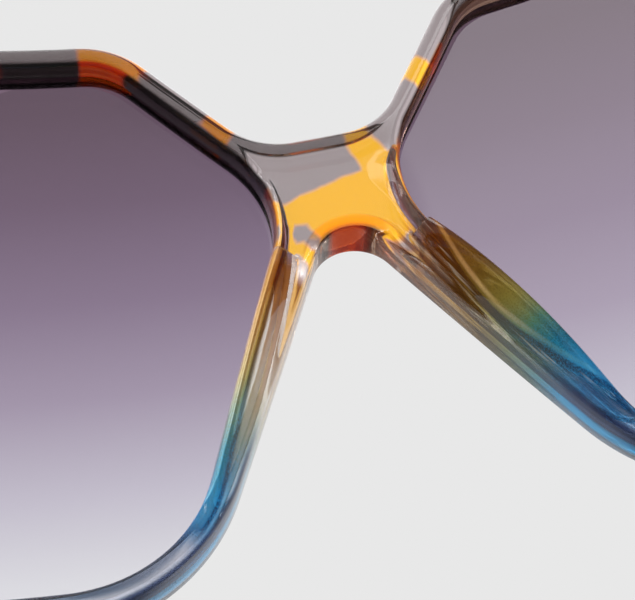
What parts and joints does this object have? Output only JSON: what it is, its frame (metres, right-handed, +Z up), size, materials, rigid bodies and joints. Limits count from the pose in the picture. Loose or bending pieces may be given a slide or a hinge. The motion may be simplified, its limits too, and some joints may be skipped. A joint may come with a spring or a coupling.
{
  "type": "sunglasses",
  "caption": "Oversized hexagonal sunglasses: tortoise front and temples fading to clear blue, gradient smoke lenses, moulded nose pads and five-knuckle hinges.",
  "frame": {"origin": "middle of the box round the open sunglasses, on the table they stand on", "axes": "+Z up; the front faces -Y and the temples run to +Y, so the wearer looks along -Y; +X is the wearer's left"},
  "size_m": [0.1438, 0.169, 0.0613],
  "materials": {
    "frame_plastic": "polished, see-through, tortoise fading to blue",
    "temple_plastic": "polished, see-through, tortoise fading to blue",
    "lens": "smooth, tinted dark at the top and pale at the bottom",
    "hinge_metal": "satin",
    "screw_metal": "satin",
    "core_metal": "satin"
  },
  "bodies": {
    "front": {"front_frame": "frame_plastic", "lens_left": "lens", "lens_right": "lens", "front_hinge_leaf_left": "hinge_metal", "front_hinge_leaf_right": "hinge_metal", "hinge_screw_left": "screw_metal", "hinge_screw_right": "screw_metal", "front_rivets_left": "screw_metal", "front_rivets_right": "screw_metal"},
    "temple_left": {"temple_left": "temple_plastic", "temple_hinge_leaf_left": "hinge_metal", "temple_rivets_left": "screw_metal", "temple_core_left": "core_metal"},
    "temple_right": {"temple_right": "temple_plastic", "temple_hinge_leaf_right": "hinge_metal", "temple_rivets_right": "screw_metal", "temple_core_right": "core_metal"}
  },
  "joints": [
    {"name": "fold_left", "type": "hinge", "parent": "front", "child": "temple_left", "pos_m": [0.0659, -0.05055, 0.0444], "axis": [0, 0, 1], "range_deg": [0, 93]},
    {"name": "fold_right", "type": "hinge", "parent": "front", "child": "temple_right", "pos_m": [-0.0659, -0.05055, 0.0444], "axis": [0, 0, -1], "range_deg": [0, 87]}
  ]
}
